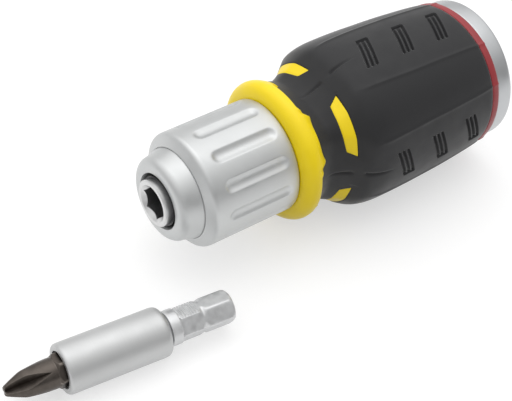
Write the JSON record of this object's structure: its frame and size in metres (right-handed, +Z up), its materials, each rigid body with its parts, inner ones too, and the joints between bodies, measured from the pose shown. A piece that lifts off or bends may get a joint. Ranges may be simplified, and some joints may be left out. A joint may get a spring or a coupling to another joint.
{
  "type": "ratcheting screwdriver",
  "caption": "Stubby ratcheting screwdriver with a hexagon bit socket, pull-back release collar, fluted direction sleeve, soft-grip handle with a bit magazine, and a loose bit holder.",
  "frame": {"origin": "on the tool axis at the spindle's front face, the mouth of the bit socket", "axes": "+X along the tool axis from the nose to the end cap, +Z up, with the tool lying on one grooved panel of its grip"},
  "size_m": [0.1287, 0.043, 0.0356],
  "materials": {
    "yellow_plastic": "smooth moulded",
    "grip_rubber": "fine matt",
    "red_plastic": "smooth moulded",
    "cap_metal": "turned",
    "satin_metal": "satin blasted",
    "holder_metal": "satin",
    "nose_steel": "machined",
    "tool_steel": "ground",
    "dark_steel": "dark phosphate",
    "spring_steel": "drawn wire",
    "die_cast": "as cast",
    "bronze": "machined",
    "dark_plastic": "moulded",
    "seal_rubber": "matt",
    "magnet": "nickel plated"
  },
  "bodies": {
    "handle": {"handle_core": "yellow_plastic", "grip": "grip_rubber", "end_ring": "red_plastic", "ratchet_housing": "die_cast", "front_bush": "bronze", "rear_bush": "bronze", "thrust_washer": "tool_steel", "pawl_pins": "tool_steel", "pawl_springs": "spring_steel", "selector_snap_ring": "spring_steel", "detent_ball": "tool_steel", "detent_spring": "spring_steel"},
    "spindle": {"spindle": "nose_steel", "ratchet_gear": "tool_steel", "spindle_circlip": "spring_steel", "collar_retaining_ring": "spring_steel", "socket_magnet": "magnet", "collar_spring": "spring_steel"},
    "collar": {"release_collar": "satin_metal"},
    "lock_ball": {"lock_ball": "tool_steel"},
    "selector": {"selector_sleeve": "satin_metal"},
    "pawl_left": {"pawl_left": "tool_steel"},
    "pawl_right": {"pawl_right": "tool_steel"},
    "magazine": {"end_cap": "cap_metal", "cap_screw": "tool_steel", "bit_magazine": "dark_plastic", "spare_bits": "dark_steel", "magazine_o_ring": "seal_rubber"},
    "holder": {"holder_sleeve": "holder_metal", "holder_shank": "holder_metal", "holder_magnet": "magnet"},
    "bit": {"bit": "dark_steel"}
  },
  "joints": [
    {"name": "spindle_spin", "type": "hinge", "parent": "handle", "child": "spindle", "pos_m": [0, 0, 0], "axis": [1, 0, 0], "continuous": true},
    {"name": "collar_pull", "type": "slide", "parent": "spindle", "child": "collar", "axis": [1, 0, 0], "range_m": [0, 0.0025], "stiffness_N_per_m": 400, "springref_m": -0.002, "deforming": ["collar_spring"]},
    {"name": "ball_release", "type": "slide", "parent": "spindle", "child": "lock_ball", "axis": [0, 0.3584, 0.9336], "range_m": [0, 0.0005]},
    {"name": "selector_turn", "type": "hinge", "parent": "handle", "child": "selector", "pos_m": [0, 0, 0], "axis": [1, 0, 0], "range_deg": [-20, 20]},
    {"name": "pawl_left_swing", "type": "hinge", "parent": "handle", "child": "pawl_left", "pos_m": [0.0211, -0.00582, 0.00647], "axis": [1, 0, 0], "range_deg": [-3.6, 3.6]},
    {"name": "pawl_right_swing", "type": "hinge", "parent": "handle", "child": "pawl_right", "pos_m": [0.0211, 0.00582, 0.00647], "axis": [1, 0, 0], "range_deg": [-3.6, 3.6]},
    {"name": "magazine_pull", "type": "slide", "parent": "handle", "child": "magazine", "axis": [1, 0, 0], "range_m": [0, 0.032]},
    {"name": "holder_lift", "type": "slide", "parent": "handle", "child": "holder", "axis": [0, 0, 1], "range_m": [0, 0.05]},
    {"name": "bit_pull", "type": "slide", "parent": "holder", "child": "bit", "axis": [-0.9947, 0.1028, 0], "range_m": [0, 0.0145]}
  ],
  "couplings": [
    {"joint": "ball_release", "follows": "collar_pull", "ratio": 0.2},
    {"joint": "pawl_left_swing", "follows": "selector_turn", "ratio": -0.18},
    {"joint": "pawl_right_swing", "follows": "selector_turn", "ratio": -0.18}
  ]
}
